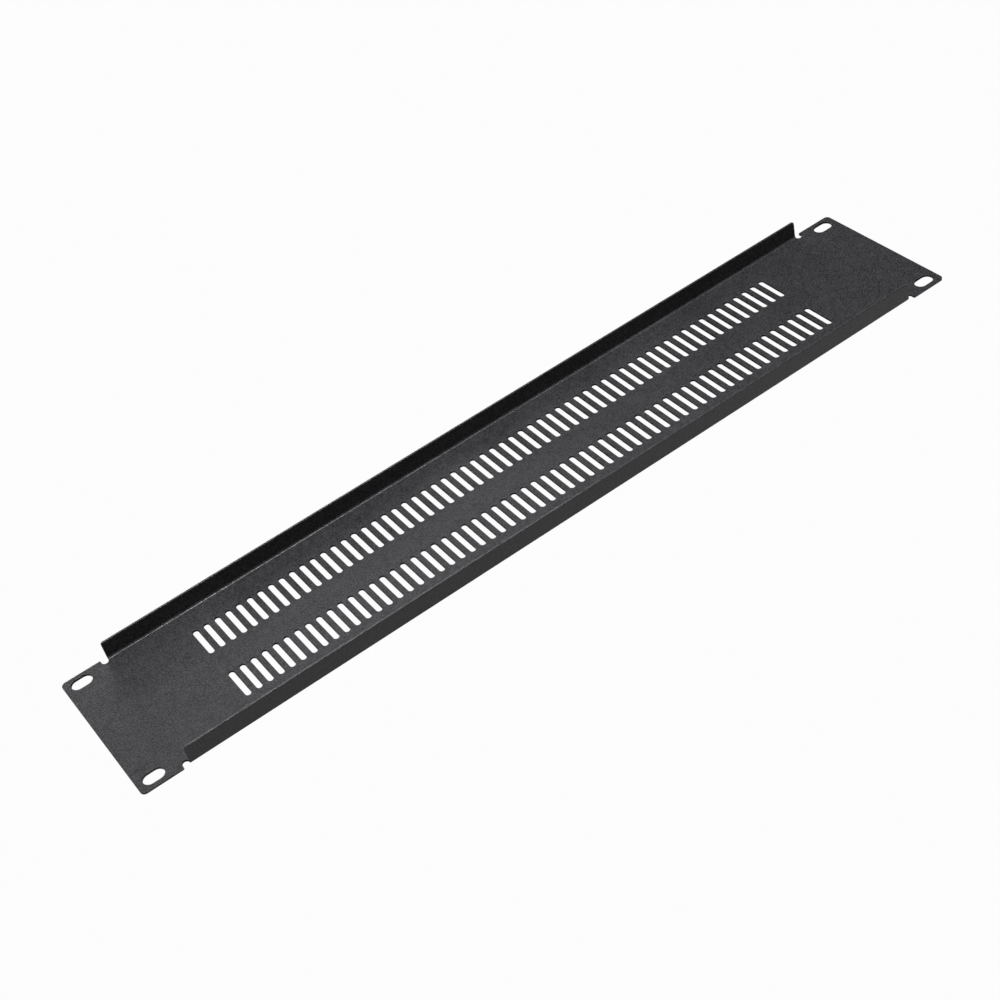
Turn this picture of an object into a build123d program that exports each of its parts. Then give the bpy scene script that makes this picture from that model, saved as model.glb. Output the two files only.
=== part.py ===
from build123d import *

import math
import os

# Vented blanking panel, two units high, for a 19 inch rack: one steel sheet, punched and then folded.
# It lies on its front face. X runs along the panel, Y across it, and Z from the front face to the back.
# The origin is the middle of the front face, and all sizes are in millimetres.

# Sheet
panel_length = 482.6
panel_height = 88.1
sheet_thickness = 1.2
ear_corner_radius = 2.5

# Flanges, folded back along both long edges between the two ears
ear_width = 24.8
flange_depth = 11.5
flange_setback = 0.3
bend_inner_radius = 1.2
flange_corner_radius = 1.5

# Reliefs: round-bottomed notches that part each flange end from its ear
relief_width = 3.5
relief_past_bend = 1.0

# Mounting slots, one near each corner, placed from the panel's end and its long edge
mount_slot_length = 11.0
mount_slot_width = 7.0
mount_end_inset = 8.75
mount_side_inset = 5.95

# Vent slots, in two rows that lie side by side, as many as fit between the end margins
vent_length = 19.5
vent_width = 3.2
vent_pitch = 6.0
vent_end_margin = 39.0
vent_row_gap = 16.5
vent_rows = 2
vent_end_flat_count = 8

# Where the metal bends: the outer face of each flange, and the line at which its bend begins
flange_length = panel_length - 2 * ear_width
flange_face_y = panel_height / 2 - flange_setback
bend_outer_radius = bend_inner_radius + sheet_thickness
bend_start_y = flange_face_y - bend_outer_radius

# The strip past each bend line, from one relief's middle to the other's, leaves the flat when it is folded
relief_x = flange_length / 2 + relief_width / 2
folded_strip_height = panel_height / 2 - bend_start_y
folded_strip_y = bend_start_y + folded_strip_height / 2

# Each relief starts a little inside the bend line and runs out through the ear's long edge
relief_bottom_y = bend_start_y - relief_past_bend
relief_length = panel_height / 2 + relief_width - relief_bottom_y
relief_y = relief_bottom_y + relief_length / 2

# Spacings of the hole patterns, all centred on the panel
mount_spacing_x = panel_length - 2 * mount_end_inset
mount_spacing_y = panel_height - 2 * mount_side_inset
vents_per_row = math.floor((flange_length - 2 * vent_end_margin) / vent_pitch) + 1
vent_row_spacing = vent_length + vent_row_gap
vent_end_spacing = vent_length - vent_width

# One vent. There are many, so each round end is drawn as short flats, true to 0.03 mm
with BuildSketch() as vent:
    Rectangle(vent_width, vent_end_spacing)
    with Locations((0, vent_end_spacing / 2), (0, -vent_end_spacing / 2)):
        RegularPolygon(vent_width / 2, 2 * vent_end_flat_count)

with BuildPart() as blanking_panel:
    # Both flanges: each starts at its bend line, turns up through the bend and stands to its full depth
    with BuildSketch(Plane.YZ):
        with BuildLine():
            bend = JernArc((bend_start_y, 0), (1, 0), bend_outer_radius, 90)
            Line(bend @ 1, (flange_face_y, flange_depth))
            offset(amount=sheet_thickness, side=Side.LEFT)
        make_face()
        mirror(about=Plane.YZ)
    extrude(amount=flange_length / 2, both=True)

    # Rounded ends of both flanges' free edges
    flange_ends = blanking_panel.edges().filter_by(Axis.Y).group_by(Axis.Z)[-1]
    fillet(flange_ends, flange_corner_radius)

    # Flat sheet from ear to ear, up to the bend lines, with a relief beside each flange end and all its holes
    with BuildSketch() as flat_sheet:
        Rectangle(panel_length, panel_height)
        fillet(flat_sheet.vertices(), ear_corner_radius)
        with Locations((0, folded_strip_y), (0, -folded_strip_y)):
            Rectangle(2 * relief_x, folded_strip_height, mode=Mode.SUBTRACT)
        with GridLocations(2 * relief_x, 2 * relief_y, 2, 2):
            SlotOverall(relief_length, relief_width, rotation=90, mode=Mode.SUBTRACT)
        with GridLocations(mount_spacing_x, mount_spacing_y, 2, 2):
            SlotOverall(mount_slot_length, mount_slot_width, mode=Mode.SUBTRACT)
        with GridLocations(vent_pitch, vent_row_spacing, vents_per_row, vent_rows):
            add(vent.sketch, mode=Mode.SUBTRACT)
    extrude(amount=sheet_thickness)

blanking_panel.part.label = "blanking_panel"

os.makedirs("parts", exist_ok=True)
export_step(blanking_panel.part, "parts/blanking_panel.step")
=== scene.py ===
import logging
import math
from dataclasses import dataclass, field
from enum import Enum

import bpy
import numpy as np
from mathutils import Matrix, Vector


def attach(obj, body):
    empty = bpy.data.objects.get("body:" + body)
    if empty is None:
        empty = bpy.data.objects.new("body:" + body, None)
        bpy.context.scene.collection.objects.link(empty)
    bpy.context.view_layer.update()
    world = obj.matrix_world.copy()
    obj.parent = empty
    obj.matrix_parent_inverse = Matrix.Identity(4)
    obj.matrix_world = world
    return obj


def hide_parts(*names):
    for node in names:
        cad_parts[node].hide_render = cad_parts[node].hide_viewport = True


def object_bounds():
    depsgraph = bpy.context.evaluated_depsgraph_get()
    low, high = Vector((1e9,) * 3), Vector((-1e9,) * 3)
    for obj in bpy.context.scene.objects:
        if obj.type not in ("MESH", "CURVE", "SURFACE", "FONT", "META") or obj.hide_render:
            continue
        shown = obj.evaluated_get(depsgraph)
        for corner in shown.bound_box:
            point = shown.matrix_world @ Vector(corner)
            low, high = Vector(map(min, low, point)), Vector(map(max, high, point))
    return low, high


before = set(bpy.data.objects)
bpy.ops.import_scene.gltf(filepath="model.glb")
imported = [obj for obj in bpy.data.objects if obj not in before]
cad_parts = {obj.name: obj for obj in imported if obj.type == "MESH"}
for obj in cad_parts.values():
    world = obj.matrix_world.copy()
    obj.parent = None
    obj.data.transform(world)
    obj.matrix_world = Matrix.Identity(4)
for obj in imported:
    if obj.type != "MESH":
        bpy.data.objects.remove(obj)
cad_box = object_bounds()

MM = 0.001
WELD = 1e-4  # mm, points nearer than this are one point
# The far corner of the part in the frame, in mm
HALF_LENGTH, HALF_HEIGHT, DEPTH = (round(size / MM, 3) for size in cad_box[1])
log = logging.getLogger("blanking_panel")


class SheetFace(Enum):
    """The two faces of the sheet, by their depth as a share of its thickness, and which way each looks."""

    FRONT = (0.0, -1.0)
    BACK = (1.0, 1.0)


# Shader nodes


@dataclass(frozen=True)
class NoiseLayer:
    """One layer of a finish's unevenness.

    Attributes:
        size_mm: the size of its largest grains.
        detail: how many finer layers are added.
        rough: how strong each finer layer is.
        low: the noise that counts as 0.
        high: the noise that counts as 1.
        share: its part in the finish's colour.
    """

    size_mm: float
    detail: float
    rough: float
    low: float
    high: float
    share: float


class Wire:
    """A shader socket. Arithmetic on it adds the Math nodes that work the expression out."""

    def __init__(self, shader: "Shader", socket: bpy.types.NodeSocket) -> None:
        """Keeps the socket and the shader whose tree new nodes go into."""
        self.shader = shader
        self.socket = socket

    def _math(self, operation: str, first: "Wire | float", second: "Wire | float") -> "Wire":
        """Adds one Math node.

        Args:
            operation: the Math node's operation.
            first: its first value or link.
            second: its second value or link.

        Returns:
            The node's output.
        """
        return self.shader.add("ShaderNodeMath", {"operation": operation}, {0: first, 1: second})

    def __add__(self, other: "Wire | float") -> "Wire":
        """This plus other."""
        return self._math("ADD", self, other)

    def __radd__(self, other: float) -> "Wire":
        """Other plus this."""
        return self._math("ADD", other, self)

    def __sub__(self, other: "Wire | float") -> "Wire":
        """This less other."""
        return self._math("SUBTRACT", self, other)

    def __rsub__(self, other: float) -> "Wire":
        """Other less this."""
        return self._math("SUBTRACT", other, self)

    def __mul__(self, other: "Wire | float") -> "Wire":
        """This times other."""
        return self._math("MULTIPLY", self, other)

    def __rmul__(self, other: float) -> "Wire":
        """Other times this."""
        return self._math("MULTIPLY", other, self)


class Shader:
    """A node tree that is filled through one method."""

    def __init__(self, owner: bpy.types.Material | bpy.types.World) -> None:
        """Empties the owner's node tree and keeps it."""
        owner.use_nodes = True
        self.tree = owner.node_tree
        self.tree.nodes.clear()

    def add(self, kind: str, settings: dict, inputs: dict, output: int | str = 0) -> Wire:
        """Adds one node.

        Args:
            kind: the node's type.
            settings: properties of the node, set first.
            inputs: its sockets' values or links, by name or number.
            output: which output to hand back.

        Returns:
            The chosen output.
        """
        node = self.tree.nodes.new(kind)
        for name, value in settings.items():
            setattr(node, name, value)
        for key, value in inputs.items():
            if isinstance(value, Wire):
                self.tree.links.new(value.socket, node.inputs[key])
            else:
                node.inputs[key].default_value = value
        return Wire(self, node.outputs[output] if node.outputs else None)

    def object_point(self) -> Wire:
        """Object coordinates, in metres."""
        return self.add("ShaderNodeTexCoord", {}, {}, "Object")

    def noise(self, point: Wire, layer: NoiseLayer) -> Wire:
        """Fractal noise from 0 to 1.

        Args:
            point: where it is read.
            layer: its grain.

        Returns:
            The noise value.
        """
        return self.add(
            "ShaderNodeTexNoise",
            {"noise_dimensions": "3D"},
            {
                "Vector": point,
                "Scale": 1 / (layer.size_mm * MM),
                "Detail": layer.detail,
                "Roughness": layer.rough,
            },
        )

    def spread(self, value: Wire, layer: NoiseLayer) -> Wire:
        """Stretches a layer's noise so that its low becomes 0 and its high becomes 1, held within them.

        Args:
            value: the noise.
            layer: its limits.

        Returns:
            The stretched value.
        """
        return self.add("ShaderNodeMapRange", {"clamp": True}, {0: value, 1: layer.low, 2: layer.high})

    def colour_between(self, share: Wire, first: tuple[float, ...], second: tuple[float, ...]) -> Wire:
        """A colour between two. The Mix node's colour sockets are its inputs 6 and 7 and its output 2.

        Args:
            share: 0 for the first colour, 1 for the second.
            first: red, green, blue and 1.
            second: the same.

        Returns:
            The colour.
        """
        return self.add("ShaderNodeMix", {"data_type": "RGBA"}, {0: share, 6: first, 7: second}, 2)

    def within(self, point: Wire, half: tuple[float, float]) -> Wire:
        """1 inside a rectangle round the origin, seen along Z, and 0 outside it.

        Args:
            point: where it is read.
            half: the rectangle's half sizes along X and Y, in metres.

        Returns:
            The 1 or 0.
        """
        inside = []
        for axis, limit in enumerate(half):
            along = self.add("ShaderNodeSeparateXYZ", {}, {0: point}, axis)
            distance = self.add("ShaderNodeMath", {"operation": "ABSOLUTE"}, {0: along})
            inside.append(self.add("ShaderNodeMath", {"operation": "LESS_THAN"}, {0: distance, 1: limit}))
        return inside[0] * inside[1]

    def shown_white(self, shaded: Wire) -> Wire:
        """How much of a white backdrop is shown: all to the eye, and none to light that falls on a surface.

        Args:
            shaded: 1 where the object keeps the light off, so that gloss shows no white there.

        Returns:
            1 for what the camera sees straight, in gloss or through glass, otherwise 0.
        """
        rays = ("Is Camera Ray", "Is Glossy Ray", "Is Transmission Ray")
        camera, glossy, glass = (self.add("ShaderNodeLightPath", {}, {}, ray) for ray in rays)
        seen = camera + glossy * (1 - shaded) + glass
        return self.add("ShaderNodeMath", {"operation": "MINIMUM"}, {0: seen, 1: 1.0})


# Finishes


@dataclass(frozen=True)
class PowderCoat:
    """Black fine-textured powder coat on steel.

    Attributes:
        roughness_spread: how much glossier the palest clouds are than the darkest.
        grain_depth_mm: how far the grain lifts the surface.
        painted_light_shift_mm: where the clouds are read from, which places them on the panel: a dark cloud
            paints shade on the right ear, and paler ones paint light on the plate's left.
    """

    name: str = "powder_coat_black"
    dark: tuple[float, float, float, float] = (0.007, 0.007, 0.008, 1.0)
    pale: tuple[float, float, float, float] = (0.055, 0.055, 0.059, 1.0)
    roughness: float = 0.32
    roughness_spread: float = 0.12
    specular_level: float = 0.3
    grain: NoiseLayer = NoiseLayer(size_mm=0.68, detail=1.0, rough=0.6, low=0.41, high=0.59, share=0.58)
    mottle: NoiseLayer = NoiseLayer(size_mm=4.0, detail=3.0, rough=0.6, low=0.3, high=0.7, share=0.2)
    # Clouds: random tone in the coat, placed so that a dark one paints shade on the right ear and paler ones
    # paint light on the plate's left
    cloud_and_painted_light: NoiseLayer = NoiseLayer(size_mm=40.0, detail=2.0, rough=0.5, low=0.3, high=0.7, share=0.22)
    grain_depth_mm: float = 0.12
    painted_light_shift_mm: tuple[float, float, float] = (1718.0, -671.0, -695.0)

    def shift(self) -> tuple[float, ...]:
        """The clouds' shift, in metres, which places their painted shade and painted light on the panel."""
        return tuple(part * MM for part in self.painted_light_shift_mm)

    def material(self) -> bpy.types.Material:
        """Makes the finish. Fine grain lifts the surface and, with mottling and clouds, shifts its colour;
        the clouds also paint shade on the right ear and light on the plate's left.

        The clouds shift its gloss too, evenly about the middle of their range.

        Returns:
            The material.
        """
        coat = bpy.data.materials.new(self.name)
        shader = Shader(coat)
        point = shader.object_point()
        grain = shader.noise(point, self.grain)
        speck = shader.spread(grain, self.grain)
        mottle = shader.spread(shader.noise(point, self.mottle), self.mottle)
        # The clouds are read at a shift that puts painted shade on the right ear and painted light on the
        # plate's left
        moved = shader.add("ShaderNodeVectorMath", {"operation": "ADD"}, {0: point, 1: self.shift()})
        cloud_and_painted_light = shader.spread(shader.noise(moved, self.cloud_and_painted_light), self.cloud_and_painted_light)
        # The colour mixes grain, mottling and the clouds' painted shade and painted light
        tone_and_painted_light = speck * self.grain.share + mottle * self.mottle.share + cloud_and_painted_light * self.cloud_and_painted_light.share
        colour = shader.colour_between(tone_and_painted_light, self.dark, self.pale)
        roughness = self.roughness - (cloud_and_painted_light - 0.5) * self.roughness_spread
        lifted = shader.add(
            "ShaderNodeBump", {}, {"Strength": 1.0, "Distance": self.grain_depth_mm * MM, "Height": grain}
        )
        surface = shader.add(
            "ShaderNodeBsdfPrincipled",
            {},
            {
                "Base Color": colour,
                "Roughness": roughness,
                "Specular IOR Level": self.specular_level,
                "Normal": lifted,
            },
        )
        shader.add("ShaderNodeOutputMaterial", {}, {"Surface": surface})
        return coat


@dataclass(frozen=True)
class StudioWhite:
    """A white floor: it shows as plain white, and still takes a little of the object's shadow.

    Attributes:
        shaded: half the length and height of what lies on the floor and keeps the light off it, in metres.
        albedo: how white it is to falling light.
        shadow_share: how much of what is seen is lit and shaded, the rest being even white.
    """

    name: str = "studio_white"
    shaded: tuple[float, float] = (HALF_LENGTH * MM, HALF_HEIGHT * MM)
    albedo: float = 0.6
    shadow_share: float = 0.02

    def material(self) -> bpy.types.Material:
        """Makes the finish: diffuse white for falling light, and mostly an even glow where it is seen.

        Returns:
            The material.
        """
        white = bpy.data.materials.new(self.name)
        shader = Shader(white)
        grey = (self.albedo, self.albedo, self.albedo, 1.0)
        matt = shader.add("ShaderNodeBsdfDiffuse", {}, {"Color": grey})
        glow = shader.add("ShaderNodeEmission", {}, {"Strength": 1.0})
        shaded = shader.within(shader.object_point(), self.shaded)
        share = shader.shown_white(shaded) * (1 - self.shadow_share)
        surface = shader.add("ShaderNodeMixShader", {}, {0: share, 1: matt, 2: glow})
        shader.add("ShaderNodeOutputMaterial", {}, {"Surface": surface})
        return white


# Surfaces


@dataclass(frozen=True)
class Patch:
    """One grid of points on the sheet's flat pattern, each with its depth in the sheet and its normal.

    Attributes:
        points: rows by columns by 3, as x, distance from the middle line and depth in the sheet, in mm.
        normals: the same shape, as unit vectors along those three.
    """

    points: np.ndarray
    normals: np.ndarray

    def quads(self, first: int) -> np.ndarray:
        """Joins neighbouring grid points in fours.

        Args:
            first: the number of the grid's first point in the whole mesh.

        Returns:
            One row of four point numbers for each face.
        """
        rows, columns = self.points.shape[:2]
        at = first + np.arange(rows * columns).reshape(rows, columns)
        return np.stack([at[:-1, :-1], at[1:, :-1], at[1:, 1:], at[:-1, 1:]], -1).reshape(-1, 4)


@dataclass(frozen=True)
class Outline:
    """A stretch of the flat pattern's outline, or of a hole's.

    Attributes:
        path: the line where the flat face ends, as x and distance from the middle line, in mm.
        outward: the direction out of the metal at each point, or 0 before the point where the edge starts.
        radius: of the edge's rounding, as one number or one for each point.
    """

    path: np.ndarray
    outward: np.ndarray
    radius: float | np.ndarray


def facing(path: np.ndarray, way: tuple[float, float], radius: float) -> Outline:
    """A straight stretch of outline, which faces one way."""
    return Outline(path, np.broadcast_to(way, path.shape), radius)


def ruled(
    start: np.ndarray, end: np.ndarray, shares: np.ndarray | tuple[float, ...] = (0.0, 1.0)
) -> np.ndarray:
    """Ruled surface: a point is its share of the way from a point of one line to the same point of the other.

    Args:
        start: the first line's points.
        end: the second line's points, as many.
        shares: where the grid's lines lie between the two, from 0 to 1.

    Returns:
        The grid, the lines' points by the shares.
    """
    return start[:, None, :] + (end - start)[:, None, :] * np.asarray(shares)[None, :, None]


def arc(centre: tuple[float, float], radius: float, start: float, end: float, steps: int) -> np.ndarray:
    """Round path: centre plus radius times the cosine and sine of an angle that runs evenly.

    Args:
        centre: the arc's centre.
        radius: its radius.
        start: its first angle in degrees.
        end: its last angle in degrees.
        steps: how many equal parts it has.

    Returns:
        The points.
    """
    angle = np.radians(np.linspace(start, end, steps + 1))
    return np.stack([centre[0] + radius * np.cos(angle), centre[1] + radius * np.sin(angle)], -1)


def across(x: float | list[float] | np.ndarray, s: float | list[float] | np.ndarray) -> np.ndarray:
    """Points from their x and their distance from the middle line, either of which may be one number."""
    return np.stack(np.broadcast_arrays(np.asarray(x, float), np.asarray(s, float)), -1)


def joined(*paths: np.ndarray) -> np.ndarray:
    """End to end: each path starts on the last point of the one before, which is kept once."""
    return np.concatenate([paths[0], *[path[1:] for path in paths[1:]]])


# Folded sheet


@dataclass(frozen=True)
class SheetStock:
    """Punched and coated sheet. In mm.

    Attributes:
        coat_build: how much closer the coat brings each wall of a hole.
        free_edge_radius: the rounding of the flanges' free edges.
        edge_steps: parts of each quarter circle of an edge.
    """

    thickness: float = 1.2
    coat_build: float = 0.1
    edge_radius: float = 0.2
    hole_edge_radius: float = 0.15
    free_edge_radius: float = 0.5
    edge_steps: int = 3

    def faces(self, grid: np.ndarray) -> list[Patch]:
        """Both faces of the sheet over one grid of the flat pattern.

        Args:
            grid: rows by columns by 2, as x and distance from the middle line.

        Returns:
            The front and the back.
        """
        made = []
        for share, look in (face.value for face in SheetFace):
            depth = np.full(grid.shape[:2] + (1,), share * self.thickness)
            points = np.concatenate([grid, depth], -1)
            made.append(Patch(points, np.broadcast_to((0.0, 0.0, look), points.shape)))
        return made

    def rim(self, outline: Outline, steps: int) -> Patch:
        """Carries an edge's section along an outline: a quarter circle off each face and a wall between them.

        A point at an angle on either quarter circle lies the radius times the sine out of the path, and the
        radius times what the cosine lacks to 1 away from its face.

        Args:
            outline: where the flat face ends. The rim starts where the outline's edge does.
            steps: how many parts each quarter circle has.

        Returns:
            The rim, the path's points by the section's.
        """
        start = int(np.argmax(np.abs(outline.outward).sum(1) > 0))
        radius = np.broadcast_to(np.asarray(outline.radius, float), len(outline.path))[start:, None]
        path, outward = outline.path[start:, None, :], outline.outward[start:, None, :]
        angle = np.radians(np.linspace(0, 90, steps + 1))
        sine = np.concatenate([np.sin(angle), np.sin(angle[::-1])])
        cosine = np.concatenate([np.cos(angle), np.cos(angle[::-1])])
        share, look = np.repeat([face.value for face in SheetFace], steps + 1, axis=0).T
        flat = path + outward * (radius * sine)[..., None]
        depth = share * self.thickness - look * radius * (1 - cosine)
        tilt = outward * sine[None, :, None]
        lift = np.broadcast_to((look * cosine)[None, :, None], tilt.shape[:2] + (1,))
        return Patch(np.concatenate([flat, depth[..., None]], -1), np.concatenate([tilt, lift], -1))


@dataclass(frozen=True)
class VentField:
    """The vents in one quarter of the sheet, from its middle out, each in its own cell of sheet. In mm.

    Attributes:
        row_gap: the web between the two rows of vents.
        each_side: how many vents there are from the panel's middle to the field's end.
        round_steps: parts of each round end.
        edge_steps: parts of each quarter circle of a vent's edge.
        cell_reach: from the middle of a vent to the end of its cell.
        cell_share: where a cell's ends have more points, as a share of half a pitch from the vent's middle.
    """

    stock: SheetStock
    length: float = 19.5
    width: float = 3.2
    pitch: float = 6.0
    row_gap: float = 16.5
    each_side: int = 30
    round_steps: int = 8
    edge_steps: int = 1
    cell_reach: float = 13.2
    cell_share: float = 0.4

    def __post_init__(self) -> None:
        """Checks that a cell has sheet all round its vent."""
        assert self.width < self.pitch and self.length < 2 * self.cell_reach

    @property
    def row(self) -> float:
        """The row's distance from the middle line."""
        return (self.length + self.row_gap) / 2

    @property
    def half_straight(self) -> float:
        """Half the length of a vent's straight sides."""
        return (self.length - self.width) / 2

    @property
    def shoulder(self) -> float:
        """Half way from the end of a vent's straight sides to the end of its cell."""
        return (self.half_straight + self.cell_reach) / 2

    def ring(self) -> tuple[Outline, np.ndarray]:
        """One vent's closed outline about its own middle, and the border of its cell.

        Returns:
            The outline, and the border's points, one for each of the outline's.
        """
        reach = self.width / 2 - self.stock.coat_build + self.stock.hole_edge_radius
        half, wide, tall = self.half_straight, self.pitch / 2, self.cell_reach
        top = arc((0, half), reach, 0, 180, self.round_steps)
        path = np.concatenate([top, -top, top[:1]])
        middle = across(0.0, np.clip(path[:, 1], -half, half))
        corner = across([wide, wide, wide, self.cell_share * wide], [half, self.shoulder, tall, tall])
        cap = np.concatenate([corner, [(0.0, tall)], corner[::-1] * (-1, 1)])
        border = np.concatenate([cap, -cap, cap[:1]])
        return Outline(path, (middle - path) / reach, self.stock.hole_edge_radius), border

    def patches(self) -> list[Patch]:
        """The field: a ring of sheet and a rim for each vent, one pitch from the next.

        Returns:
            The patches.
        """
        vent, border = self.ring()
        made = []
        for number in range(self.each_side):
            middle = ((number + 0.5) * self.pitch, self.row)
            placed = Outline(vent.path + middle, vent.outward, vent.radius)
            made += self.stock.faces(ruled(placed.path, border + middle))
            made.append(self.stock.rim(placed, self.edge_steps))
        return made

    def lines(self) -> tuple[np.ndarray, np.ndarray]:
        """Where the borders of the cells have points.

        Returns:
            The x of every line across the field, and the distances of the lines along it.
        """
        offsets = self.pitch / 2 * np.array([-1.0, -self.cell_share, 0.0, self.cell_share])
        middles = (np.arange(self.each_side) + 0.5) * self.pitch
        x = np.append((middles[:, None] + offsets).ravel(), self.each_side * self.pitch)
        s = self.row - np.array([self.cell_reach, self.shoulder, self.half_straight])
        return x, np.concatenate([s, 2 * self.row - s[::-1]])


@dataclass(frozen=True)
class Bend:
    """The fold along a long edge. In mm.

    Attributes:
        setback: how far the flange's outer face stands back from the ears' long edge.
    """

    stock: SheetStock
    inner_radius: float = 1.2
    setback: float = 0.3

    @property
    def outer_radius(self) -> float:
        """The radius of the sheet's front face round the bend."""
        return self.inner_radius + self.stock.thickness

    @property
    def middle_radius(self) -> float:
        """The radius of the sheet's middle layer, which keeps its length."""
        return self.outer_radius - self.stock.thickness / 2

    @property
    def start(self) -> float:
        """The bend line's distance from the middle line."""
        return HALF_HEIGHT - self.setback - self.outer_radius

    @property
    def end(self) -> float:
        """Where the bend ends on the flat pattern."""
        return self.start + self.middle_radius * math.pi / 2

    def fold(
        self, points: np.ndarray, normals: np.ndarray, strip_end: float
    ) -> tuple[np.ndarray, np.ndarray]:
        """Carries the flat pattern round the bend.

        Past the bend line, a point turns about the bend's axis by its distance past the line over the radius
        of the sheet's middle layer, up to a right angle. What is left of the distance goes straight up the
        flange.

        Args:
            points: x, distance from the middle line, and depth from the front face.
            normals: unit vectors along those three.
            strip_end: the x at which the folded strip ends, past which the ears stay flat.

        Returns:
            The points and the normals in X, Y and Z.
        """
        x, s, depth = points.T
        past = np.where(x < strip_end, s - self.start, 0.0)
        angle = np.clip(past / self.middle_radius, 0, math.pi / 2)
        beyond = np.maximum(past - self.middle_radius * math.pi / 2, 0)
        base = np.where(past > 0, self.start, s)
        reach = self.outer_radius - depth
        sine, cosine = np.sin(angle), np.cos(angle)
        placed = np.stack([x, base + reach * sine, self.outer_radius - reach * cosine + beyond], -1)
        along, through = normals[:, 1], normals[:, 2]
        turned = [normals[:, 0], along * cosine - through * sine, along * sine + through * cosine]
        return placed, np.stack(turned, -1)


@dataclass(frozen=True)
class Relief:
    """The round-bottomed notch that parts a flange's end from its ear. In mm.

    Attributes:
        ear_width: from the panel's end to the flange's end, with the relief.
        past_bend: how far inside the bend line it starts.
        steps: parts of its outline from the bottom to either side.
        web_lines: where the flat web between the vents and the relief has lines, from the middle line.
    """

    stock: SheetStock
    bend: Bend
    ear_width: float = 24.8
    width: float = 3.5
    past_bend: float = 1.0
    steps: int = 8
    web_lines: tuple[float, ...] = (34.0, 36.5, 38.5)

    @property
    def middle(self) -> tuple[float, float]:
        """The middle of its round bottom."""
        half = self.width / 2
        return HALF_LENGTH - self.ear_width + half, self.bend.start - self.past_bend + half

    @property
    def reach(self) -> float:
        """From its middle to the line where the flat face ends."""
        return self.width / 2 + self.stock.edge_radius

    def approach(self, level: float) -> np.ndarray:
        """The line from the end of the vents' cells out to the bottom of the relief."""
        x, s = self.middle
        return across(x, [level, *self.web_lines, s - self.reach])


@dataclass(frozen=True)
class Flange:
    """One end of a folded long edge, on the flat pattern. In mm.

    Attributes:
        bend_steps: parts of its end from the relief's middle to the end of the bend.
        corner_steps: parts of its rounded corner.
        lines: where its straight end has lines past the bend, from the middle line.
    """

    stock: SheetStock
    bend: Bend
    relief: Relief
    depth: float = DEPTH
    corner_radius: float = 1.5
    bend_steps: int = 5
    corner_steps: int = 5
    lines: tuple[float, ...] = (46.5, 49.0)

    def outline(self, level: float) -> Outline:
        """The end of the flange and of the web below it, from the end of the vents' cells to the free edge.

        It goes out to the relief, round it, up the flange's end and round its corner, where the edge grows
        rounder.

        Args:
            level: where the vents' cells end.

        Returns:
            The outline.
        """
        x, s = self.relief.middle
        reach, edge = self.relief.reach, self.stock.edge_radius
        web = self.relief.approach(level)
        bend_angle = math.degrees(math.asin((s - self.bend.start) / reach))
        flat_turn = np.linspace(270, 180 + bend_angle, self.relief.steps - 1)
        turn = np.radians(np.append(flat_turn, [180 + bend_angle / 2, 180]))
        notch = across(x + reach * np.cos(turn), s + reach * np.sin(turn))

        end_x = x - self.relief.width / 2
        free_edge = self.bend.end + self.depth - self.bend.outer_radius
        corner_middle = (end_x - self.corner_radius, free_edge - self.corner_radius)
        bent = np.linspace(s, self.bend.end, self.bend_steps + 1)
        wall = across(end_x - edge, np.append(bent, [*self.lines, corner_middle[1]]))
        spoke = arc((0, 0), 1, 0, 90, self.corner_steps)
        rounder = np.linspace(edge, self.stock.free_edge_radius, len(spoke))
        corner = corner_middle + spoke * (self.corner_radius - rounder)[:, None]

        path = joined(web, notch, wall, corner)
        radius = np.append(np.full(len(path) - len(rounder), edge), rounder)
        blank, straight = np.zeros((len(web) - 1, 2)), np.broadcast_to((1.0, 0.0), (len(wall) - 1, 2))
        return Outline(path, np.concatenate([blank, ((x, s) - notch) / reach, straight, spoke[1:]]), radius)


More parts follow.
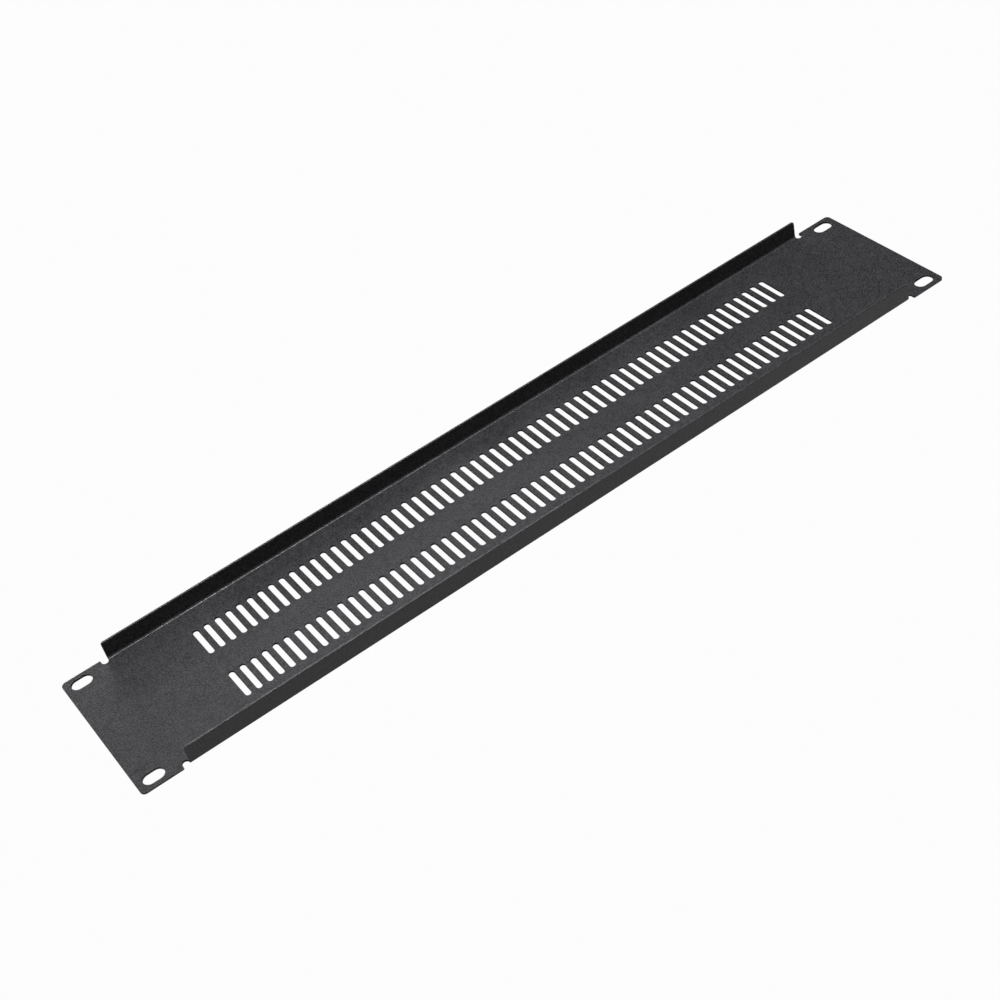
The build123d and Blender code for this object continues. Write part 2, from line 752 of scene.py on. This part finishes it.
@dataclass(frozen=True)
class Ear:
    """The flat ear past the relief, with its mounting slot. In mm.

    Attributes:
        slot_end_inset: from the panel's end to the slot's middle.
        slot_side_inset: from the ear's long edge to the slot's middle.
        lines: where it has lines across it, as x.
        end_lines: where its end has points, from the middle line.
    """

    stock: SheetStock
    relief: Relief
    corner_radius: float = 2.5
    inner_corner_radius: float = 0.6
    slot_length: float = 11.0
    slot_width: float = 7.0
    slot_end_inset: float = 8.75
    slot_side_inset: float = 5.95
    corner_steps: int = 8
    inner_corner_steps: int = 3
    lines: tuple[float, ...] = (223.0, 229.0, 235.0)
    end_lines: tuple[float, ...] = (34.5, 37.5, 39.5)

    @property
    def x_lines(self) -> np.ndarray:
        """The x of each line across the ear, out to its end."""
        return np.array([*self.lines, HALF_LENGTH - self.stock.edge_radius])

    def inner_outline(self, level: float) -> Outline:
        """The ear's edge beside the relief, from the end of the vents' cells out to the ear's long edge.

        Args:
            level: where the vents' cells end.

        Returns:
            The outline.
        """
        x, s = self.relief.middle
        web = self.relief.approach(level)
        notch = arc((x, s), self.relief.reach, -90, 0, self.relief.steps)
        rounding = self.inner_corner_radius - self.stock.edge_radius
        middle = (
            x + self.relief.width / 2 + self.inner_corner_radius,
            HALF_HEIGHT - self.inner_corner_radius,
        )
        corner = arc(middle, rounding, 180, 90, self.inner_corner_steps)
        blank = np.zeros((len(web) - 1, 2))
        outward = np.concatenate([blank, ((x, s) - notch) / self.relief.reach, (corner - middle) / rounding])
        return Outline(np.concatenate([joined(web, notch), corner]), outward, self.stock.edge_radius)

    def outer_outline(self, level: float) -> Outline:
        """The ear's end and its outer corner, from the level of the cells' ends to the long edge.

        Args:
            level: where the vents' cells end.

        Returns:
            The outline.
        """
        edge = self.stock.edge_radius
        middle = (HALF_LENGTH - self.corner_radius, HALF_HEIGHT - self.corner_radius)
        reach = self.corner_radius - edge
        wall = across(HALF_LENGTH - edge, [level, *self.end_lines, middle[1]])
        corner = arc(middle, reach, 0, 90, self.corner_steps)
        straight = np.broadcast_to((1.0, 0.0), (len(wall) - 1, 2))
        return Outline(joined(wall, corner), np.concatenate([straight, (corner - middle) / reach]), edge)

    def slot_outline(self, side: int, end: int, run: int) -> Outline:
        """The mounting slot's closed outline, with as many points on each stretch as the border round it has.

        Args:
            side: parts of the half circle towards the relief.
            end: parts of the half circle towards the panel's end.
            run: parts of each straight.

        Returns:
            The outline.
        """
        reach = self.slot_width / 2 - self.stock.coat_build + self.stock.hole_edge_radius
        half_straight = (self.slot_length - self.slot_width) / 2
        x, s = HALF_LENGTH - self.slot_end_inset, HALF_HEIGHT - self.slot_side_inset
        low, high = x - half_straight, x + half_straight
        path = joined(
            across(np.linspace(low, high, run + 1), s - reach),
            arc((high, s), reach, -90, 90, end),
            across(np.linspace(high, low, run + 1), s + reach),
            arc((low, s), reach, 90, 270, side),
        )
        middle = across(np.clip(path[:, 0], low, high), s)
        return Outline(path, (middle - path) / reach, self.stock.hole_edge_radius)


@dataclass
class FoldedSheet:
    """Vented blanking panel: one sheet, punched flat and then folded along both long edges. In mm.

    The outside is the solid's, and the coat leaves every vent and slot a little narrower than the bare metal.

    Attributes:
        margin_lines: the x of the lines across the plain sheet between the vents and the relief.
        slot_shares: where the sheet round a mounting slot has lines, from the slot to its border.
    """

    name: str = "folded_sheet"
    node: str = "blanking_panel"
    slot: str = "powder_coat"
    coat: PowderCoat = field(default_factory=PowderCoat)
    stock: SheetStock = field(default_factory=SheetStock)
    margin_lines: tuple[float, ...] = (192.0, 204.0, 213.0)
    slot_shares: tuple[float, ...] = (0.0, 0.5, 1.0)

    def __post_init__(self) -> None:
        """Lays out the sheet's parts from its stock."""
        self.vents = VentField(self.stock)
        self.bend = Bend(self.stock)
        self.relief = Relief(self.stock, self.bend)
        self.flange = Flange(self.stock, self.bend, self.relief)
        self.ear = Ear(self.stock, self.relief)

    def quarter(self) -> list[Patch]:
        """The flat pattern from its middle out to one corner, as patches that share their borders.

        Returns:
            The patches.
        """
        stock, ear_x = self.stock, self.ear.x_lines
        vent_x, vent_s = self.vents.lines()
        field_end, level = vent_x[-1], vent_s[-1]
        outlines = (self.flange.outline, self.ear.inner_outline, self.ear.outer_outline)
        flange, beside, end = (outline(level) for outline in outlines)
        flange_s, beside_s = flange.path[:, 1], beside.path[:, 1]
        margin = np.array([field_end, *self.margin_lines, self.relief.middle[0]])
        shares = (margin - field_end) / (margin[-1] - field_end)
        low_x, low_s = np.append(margin, ear_x), np.append(0.0, vent_s)

        # The vents, the sheet below and beside them, the strip that folds, and the ear's strip by the relief
        made = self.vents.patches()
        for grid in (
            ruled(across(vent_x, 0.0), across(vent_x, vent_s[0])),
            np.stack(np.meshgrid(low_x, low_s), -1),
            np.stack(np.meshgrid(vent_x, flange_s), -1),
            ruled(across(field_end, flange_s), flange.path, shares),
            ruled(beside.path, across(ear_x[0], beside_s)),
        ):
            made += stock.faces(grid)

        # The ear round its mounting slot
        top = np.concatenate([end.path[-1:], across(ear_x[-2::-1], end.path[-1, 1])])
        border = joined(across(ear_x, level), end.path, top, across(ear_x[0], beside_s[::-1]))
        mount = self.ear.slot_outline(len(beside.path) - 1, len(end.path) - 1, len(ear_x) - 1)
        made += stock.faces(ruled(mount.path, border, self.slot_shares))

        # Every edge
        free_x = np.append(vent_x, field_end + shares[1:] * (flange.path[-1, 0] - field_end))
        made += [
            stock.rim(outline, stock.edge_steps)
            for outline in (
                mount,
                facing(across(free_x, flange_s[-1]), (0.0, 1.0), stock.free_edge_radius),
                flange,
                beside,
                end,
                facing(np.append(top, beside.path[-1:], 0), (0.0, 1.0), stock.edge_radius),
                facing(across(low_x[-1], low_s), (1.0, 0.0), stock.edge_radius),
            )
        ]
        return made

    def mesh(self) -> bpy.types.Mesh:
        """Folds the quarter, mirrors it to all four, welds them and gives each point its own normal.

        Returns:
            The mesh, in metres.
        """
        patches = self.quarter()
        firsts = np.cumsum([0] + [patch.points[..., 0].size for patch in patches[:-1]])
        quads = np.concatenate([patch.quads(first) for patch, first in zip(patches, firsts)])
        flat_points = np.concatenate([patch.points.reshape(-1, 3) for patch in patches])
        flat_normals = np.concatenate([patch.normals.reshape(-1, 3) for patch in patches])
        points, normals = self.bend.fold(flat_points, flat_normals, self.relief.middle[0])
        signs = np.array([(1, 1, 1), (-1, 1, 1), (1, -1, 1), (-1, -1, 1)], float)
        copies = np.arange(len(signs)) * len(points)
        points = (points[None] * signs[:, None]).reshape(-1, 3)
        normals = (normals[None] * signs[:, None]).reshape(-1, 3)
        quads = (quads[None] + copies[:, None, None]).reshape(-1, 4)

        # Points on a shared border fall on one key and become one, with the first one's normal
        keys = np.round(points / WELD).astype(np.int64)
        _, first, back = np.unique(keys, axis=0, return_index=True, return_inverse=True)
        points, normals, quads = points[first], normals[first], back.reshape(-1)[quads]

        # A face that looks against its points' normals is turned round
        corner = points[quads]
        looks = np.cross(corner[:, 2] - corner[:, 0], corner[:, 3] - corner[:, 1])
        wrong = (looks * normals[quads].mean(1)).sum(-1) < 0
        quads[wrong] = quads[wrong, ::-1]

        mesh = bpy.data.meshes.new(self.name)
        mesh.from_pydata((points * MM).tolist(), [], quads.tolist())
        mesh.polygons.foreach_set("use_smooth", np.ones(len(mesh.polygons), bool))
        mesh.update()
        mesh.normals_split_custom_set_from_vertices(normals.tolist())
        return mesh

    def build(self) -> bpy.types.Object:
        """Makes the piece, dresses it and stands it in for the CAD node.

        Returns:
            The object.
        """
        piece = bpy.data.objects.new(self.name, self.mesh())
        bpy.context.scene.collection.objects.link(piece)
        piece.data.materials.append(self.coat.material())
        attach(piece, "root")
        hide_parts(self.node)
        return piece


# Studio


@dataclass(frozen=True)
class Softbox:
    """A rectangular lamp, in metres and watts, turned to the middle of the panel unless told otherwise."""

    name: str
    place: tuple[float, float, float]
    size: tuple[float, float]
    power: float
    aim: tuple[float, float, float] = (0.0, 0.0, 0.0)

    def build(self) -> bpy.types.Object:
        """Hangs the lamp and turns it to its aim.

        Returns:
            The lamp.
        """
        light = bpy.data.lights.new(self.name, "AREA")
        light.shape = "RECTANGLE"
        light.size, light.size_y = self.size
        light.energy = self.power
        lamp = bpy.data.objects.new(self.name, light)
        bpy.context.scene.collection.objects.link(lamp)
        lamp.location = self.place
        lamp.rotation_euler = (Vector(self.aim) - Vector(self.place)).to_track_quat("-Z", "Y").to_euler()
        return lamp


@dataclass
class Studio:
    """White floor curving up into a low wall, a dim surround, and softboxes above, behind and at the left.

    Attributes:
        floor_drop: how far the floor lies under the panel, in metres.
        cove_radius: of the curve from the floor up to the wall.
        wall_top: how high the wall reaches.
        cove_steps: parts of that curve.
        round_steps: parts of the backdrop's whole turn.
        surround: the strength of the even light above the wall.
    """

    floor_radius: float = 6.0
    floor_drop: float = 0.0002
    cove_radius: float = 0.8
    wall_top: float = 1.3
    cove_steps: int = 12
    round_steps: int = 96
    surround: float = 0.02
    white: StudioWhite = field(default_factory=StudioWhite)
    softboxes: tuple[Softbox, ...] = (
        Softbox("strip_above_left", (0.05, -0.12, 1.3), (0.5, 0.15), 16.0),
        Softbox("strip_above_right", (0.70, -0.12, 1.3), (0.8, 0.15), 4.0),
        Softbox("softbox_behind", (0.42, 1.35, 0.85), (0.75, 0.9), 1.8),
        Softbox("softbox_behind_low", (0.20, 1.50, 0.35), (0.8, 0.3), 11.0),
        Softbox("softbox_left", (-0.60, 0.10, 0.55), (0.4, 0.4), 3.4),
    )

    def backdrop(self) -> bpy.types.Object:
        """Lays the floor and the wall round it as one surface, just under the object.

        A section from the edge of the flat floor, round the cove and up the wall is turned about Z: a point
        is the section's distance times the cosine and sine of the turn, at the section's height. One face
        fills the floor.

        Returns:
            The backdrop.
        """
        turn = np.linspace(0, 2 * math.pi, self.round_steps, endpoint=False)
        cove_middle = (self.floor_radius - self.cove_radius, self.cove_radius)
        cove = arc(cove_middle, self.cove_radius, -90, 0, self.cove_steps)
        section = np.concatenate([cove, [(self.floor_radius, self.wall_top)]]) - (0, self.floor_drop)
        height = np.broadcast_to(section[:, 1], (len(turn), len(section)))
        spoke = np.stack([np.cos(turn), np.sin(turn)], -1)[:, None] * section[None, :, :1]
        points = np.concatenate([spoke, height[..., None]], -1).reshape(-1, 3)
        at = np.arange(len(points)).reshape(len(turn), len(section))
        after = np.roll(at, -1, 0)
        quads = np.stack([at[:, :-1], after[:, :-1], after[:, 1:], at[:, 1:]], -1).reshape(-1, 4)
        mesh = bpy.data.meshes.new("studio_backdrop")
        mesh.from_pydata(points.tolist(), [], [*quads.tolist(), at[:, 0].tolist()])
        mesh.polygons.foreach_set("use_smooth", np.ones(len(mesh.polygons), bool))
        backdrop = bpy.data.objects.new("studio_backdrop", mesh)
        bpy.context.scene.collection.objects.link(backdrop)
        backdrop.data.materials.append(self.white.material())
        return backdrop

    def world(self) -> bpy.types.World:
        """Puts a dim even light over the backdrop.

        Returns:
            The world.
        """
        world = bpy.data.worlds.new("studio_surround")
        bpy.context.scene.world = world
        shader = Shader(world)
        even_white = {"Color": (1.0, 1.0, 1.0, 1.0), "Strength": self.surround}
        glow = shader.add("ShaderNodeBackground", {}, even_white)
        shader.add("ShaderNodeOutputWorld", {}, {"Surface": glow})
        return world

    def build(self) -> None:
        """Sets the backdrop, the surroundings and the softboxes."""
        self.backdrop()
        self.world()
        for softbox in self.softboxes:
            softbox.build()
            log.info("lamp %s, %.1f W", softbox.name, softbox.power)


@dataclass(frozen=True)
class PhotoCamera:
    """The photograph's point of view, as angles round a point on the floor.

    Angles are in degrees, places in metres, and the lens and its sensor in mm.
    """

    aim: tuple[float, float, float] = (-0.02124, -0.00668, 0.0)
    azimuth: float = -25.59
    elevation: float = 41.59
    roll: float = 14.62
    distance: float = 0.8726
    lens: float = 64.42
    sensor: float = 36.0

    def build(self) -> bpy.types.Object:
        """Stands the camera back from its aim along the line of sight and rolls it about that line.

        Returns:
            The camera.
        """
        around, up, roll = (math.radians(angle) for angle in (self.azimuth, self.elevation, self.roll))
        back = Vector((math.sin(around) * math.cos(up), -math.cos(around) * math.cos(up), math.sin(up)))
        level = Vector((0, 0, 1)).cross(back).normalized()
        upright = back.cross(level)
        top = upright * math.cos(roll) + level * math.sin(roll)
        turn = Matrix((top.cross(back), top, back)).transposed()
        data = bpy.data.cameras.new("photo_camera")
        data.sensor_width, data.lens = self.sensor, self.lens
        camera = bpy.data.objects.new("photo_camera", data)
        bpy.context.scene.collection.objects.link(camera)
        camera.matrix_world = Matrix.Translation(Vector(self.aim) + back * self.distance) @ turn.to_4x4()
        bpy.context.scene.camera = camera
        return camera


def main() -> None:
    """Builds the camera, the panel and the studio in order."""
    logging.basicConfig(level=logging.INFO, format="%(name)s: %(message)s")
    bpy.context.scene.view_settings.view_transform = "Standard"
    PhotoCamera().build()
    panel = FoldedSheet().build()
    log.info("%s: %d points, %d faces", panel.name, len(panel.data.vertices), len(panel.data.polygons))
    Studio().build()


if __name__ == "__main__":
    main()
